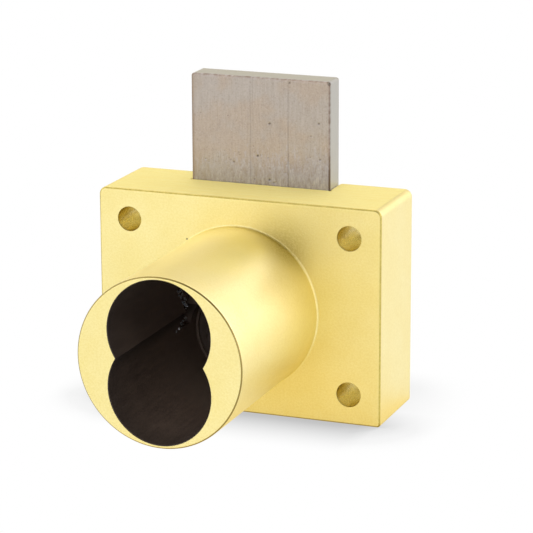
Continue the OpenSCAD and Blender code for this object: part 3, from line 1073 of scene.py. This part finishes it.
def fit(piece, body, slot, *nodes):
    """Puts a finished piece on its body, in place of CAD nodes."""
    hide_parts(*nodes)
    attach(piece, body)


fit(make_housing(), "lock_case", "lacquered_brass", "housing")
fit(make_cover(), "lock_case", "plated_cover", "back_cover")
fit(make_cover_screws(), "lock_case", "screw_steel", "cover_screws")
fit(make_bolt(), "bolt", "nickel_bolt", "deadbolt")

for node, finish in (("throw_disc", OILED), ("drive_prongs", OILED), ("crank_arm", OILED),
                     ("spring_washer", SCREW_PLATE), ("drive_stud", SCREW_PLATE)):
    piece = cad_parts[node]
    piece.data.materials.clear()
    piece.data.materials.append(finish)


# Floor, light and camera

WHITE = (1.0, 1.0, 1.0)
FLOOR_HALF = 900
FLOOR_GAP = 0.02
# The soft shadow: how far it reaches, and the way it looks for what stands over the floor
SHADOW_REACH = 14
SHADOW_LEAN = (0.25, 0.35, 0.90)


def studio_floor():
    """A white table that keeps only the soft shadow close round the lock."""
    low = CASE_LOW.z - FLOOR_GAP
    corners = ((-1, -1), (1, -1), (1, 1), (-1, 1))
    floor = solid("floor", [(x * FLOOR_HALF, y * FLOOR_HALF, low) for x, y in corners], [(0, 1, 2, 3)])
    finish, r = material("floor_white")
    plain = r.add("ShaderNodeBsdfDiffuse", {"Color": (0.85, 0.85, 0.86, 1.0)}).outputs[0]
    open_sky = r.add("ShaderNodeAmbientOcclusion", {
        "Distance": SHADOW_REACH * MM, "Normal": SHADOW_LEAN,
    }, samples=8).outputs["AO"]
    near = r.span(open_sky, 0.45, 0.97, 0.5, 1.0, "LINEAR")
    x, y, _ = r.split(r.place())
    # Painted light: the shadow is kept only near the case's front and sides, and lifted to white
    # further out, which takes away most of the barrel's shadow.
    ahead = r.math("POWER", r.span(y, -13.0, 0.0, 0.0, 1.0, "LINEAR"), 1.7)
    beside = r.math("SUBTRACT", r.math("ABSOLUTE", x), CASE_HALF_W)
    beside = r.math("POWER", r.span(beside, 9.0, -3.0, 0.0, 1.0, "LINEAR"), 1.4)
    beside = r.math("MULTIPLY", beside, r.span(y, 8.0, -1.0, 0.25, 1.0, "LINEAR"))
    keep = r.math("MULTIPLY", ahead, beside)
    shade_level = r.math("MAXIMUM", near, r.math("MULTIPLY_ADD", keep, -0.5, 1.0))
    seen = r.add("ShaderNodeLightPath").outputs
    # Painted light in what metal mirrors: the floor's shadow half as deep, and warm near the lock,
    # like light bounced off the brass.
    soft = r.math("MULTIPLY_ADD", shade_level, 0.5, 0.53)
    level = r.between(seen["Is Glossy Ray"], shade_level, soft)
    warm = r.math("MULTIPLY", r.span(near, 1.0, 0.7), seen["Is Glossy Ray"])
    color = r.blend(warm, WHITE, (1.0, 0.84, 0.45))
    white = r.add("ShaderNodeEmission", {"Color": color, "Strength": level}).outputs[0]
    shown = r.math("ADD", seen["Is Camera Ray"], seen["Is Glossy Ray"])
    shown = r.math("ADD", shown, seen["Is Transmission Ray"])
    both = r.add("ShaderNodeMixShader", {0: shown, 1: plain, 2: white}).outputs[0]
    r.add("ShaderNodeOutputMaterial", {"Surface": both})
    floor.data.materials.append(finish)


# The studio as metal sees it: a plain level, and soft patches of more or less light, up to a limit.
# Each patch lies at degrees to the right of the front and degrees up, and has its spread and level.
STUDIO_LEVEL = 1.31
STUDIO_LIMIT = 2.15
STUDIO_PATCHES = (
    (116, 32, 50, 1.5),
    (-32, 31, 24, 0.9),
    (177, 68, 46, 1.3),
    (38, 60, 67, -1.45),
    (4, -1, 30, 1.0),
    (190, 3, 63, -0.55),
    (72, 0, 70, 0.3),
    (186, 50, 38, -0.45),
    (12, 34, 28, -0.75),
    (96, 12, 70, 0.18),
    (186, 28, 28, -0.2),
    (0, 36, 28, -0.1),
    (-48, 66, 42, 0.12),
    (0, 0, 70, -0.09),
    (132, 12, 70, -0.13),
    (144, 36, 70, -0.06),
)
# What metal mirrors turns warm where it is dim and cool where it is keen, from one level to another
DIM_LIGHT = (1.3, 0.55, (1.0, 0.84, 0.42))
KEEN_LIGHT = (1.35, 2.0, (0.98, 1.0, 1.32))
# Dull faces get part of their light from all round and the rest from a wide lamp up in front, which
# has its degrees to the right and up, its width in degrees and its level
DIFFUSE_LEVEL = 0.62
LAMP = (8, 48, 50, 0.5)


def studio_world():
    """What metal mirrors, the plain level for dull faces, and white for the camera."""
    world = bpy.data.worlds.new("studio")
    bpy.context.scene.world = world
    world.use_nodes = True
    r = Recipe(world.node_tree)
    toward = r.add("ShaderNodeTexCoord").outputs["Generated"]
    level = STUDIO_LEVEL
    for turn, rise, spread, strength in STUDIO_PATCHES:
        turn, rise, spread = math.radians(turn), math.radians(rise), math.radians(spread)
        flat = math.cos(rise)
        axis = (math.sin(turn) * flat, -math.cos(turn) * flat, math.sin(rise))
        facing = r.add("ShaderNodeVectorMath", {0: toward, 1: axis}, operation="DOT_PRODUCT")
        patch = r.span(facing.outputs["Value"], math.cos(spread), 1.0, 0.0, strength)
        level = r.math("ADD", level, patch)
    level = r.math("MAXIMUM", r.math("MINIMUM", level, STUDIO_LIMIT), 0.0)
    seen = r.add("ShaderNodeLightPath").outputs
    color = WHITE
    for start, full, tint in (DIM_LIGHT, KEEN_LIGHT):
        share = r.math("MULTIPLY", r.span(level, start, full), seen["Is Glossy Ray"])
        color = r.blend(share, color, tint)
    level = r.between(seen["Is Glossy Ray"], DIFFUSE_LEVEL, level)
    plain = r.math("MAXIMUM", seen["Is Camera Ray"], seen["Is Transmission Ray"])
    level = r.between(plain, level, 1.0)
    sky = r.add("ShaderNodeBackground", {"Color": color, "Strength": level}).outputs[0]
    r.add("ShaderNodeOutputWorld", {"Surface": sky})


def studio_lamp():
    """A wide lamp up in front. Metal doesn't mirror it, since its patches stand in the world."""
    turn, rise, width, level = LAMP
    lamp = bpy.data.objects.new("lamp", bpy.data.lights.new("lamp", "SUN"))
    lamp.data.energy = level * math.pi
    lamp.data.angle = math.radians(width)
    lamp.rotation_euler = (math.radians(90 - rise), 0, math.radians(turn))
    lamp.visible_glossy = False
    bpy.context.scene.collection.objects.link(lamp)


def place_camera():
    """Aims the camera with its roll, as the fit found it."""
    turn, rise, roll = (math.radians(a) for a in (CAMERA_TURN, CAMERA_RISE, CAMERA_ROLL))
    back = Vector((math.sin(turn) * math.cos(rise), -math.cos(turn) * math.cos(rise), math.sin(rise)))
    right = (-back).cross(Vector((0, 0, 1))).normalized()
    up = right.cross(-back)
    level_right, level_up = right, up
    right = level_right * math.cos(roll) + level_up * math.sin(roll)
    up = level_up * math.cos(roll) - level_right * math.sin(roll)
    camera = bpy.data.objects.new("camera", bpy.data.cameras.new("camera"))
    camera.data.lens = CAMERA_LENS
    camera.data.sensor_width = 36
    camera.data.sensor_fit = "HORIZONTAL"
    camera.data.clip_start = 0.01
    place = (CAMERA_TARGET + back * CAMERA_DISTANCE) * MM
    camera.matrix_world = Matrix((
        (right.x, up.x, back.x, place.x), (right.y, up.y, back.y, place.y),
        (right.z, up.z, back.z, place.z), (0, 0, 0, 1),
    ))
    bpy.context.scene.collection.objects.link(camera)
    bpy.context.scene.camera = camera


studio_floor()
studio_world()
studio_lamp()
place_camera()
bpy.context.scene.view_settings.view_transform = "Standard"
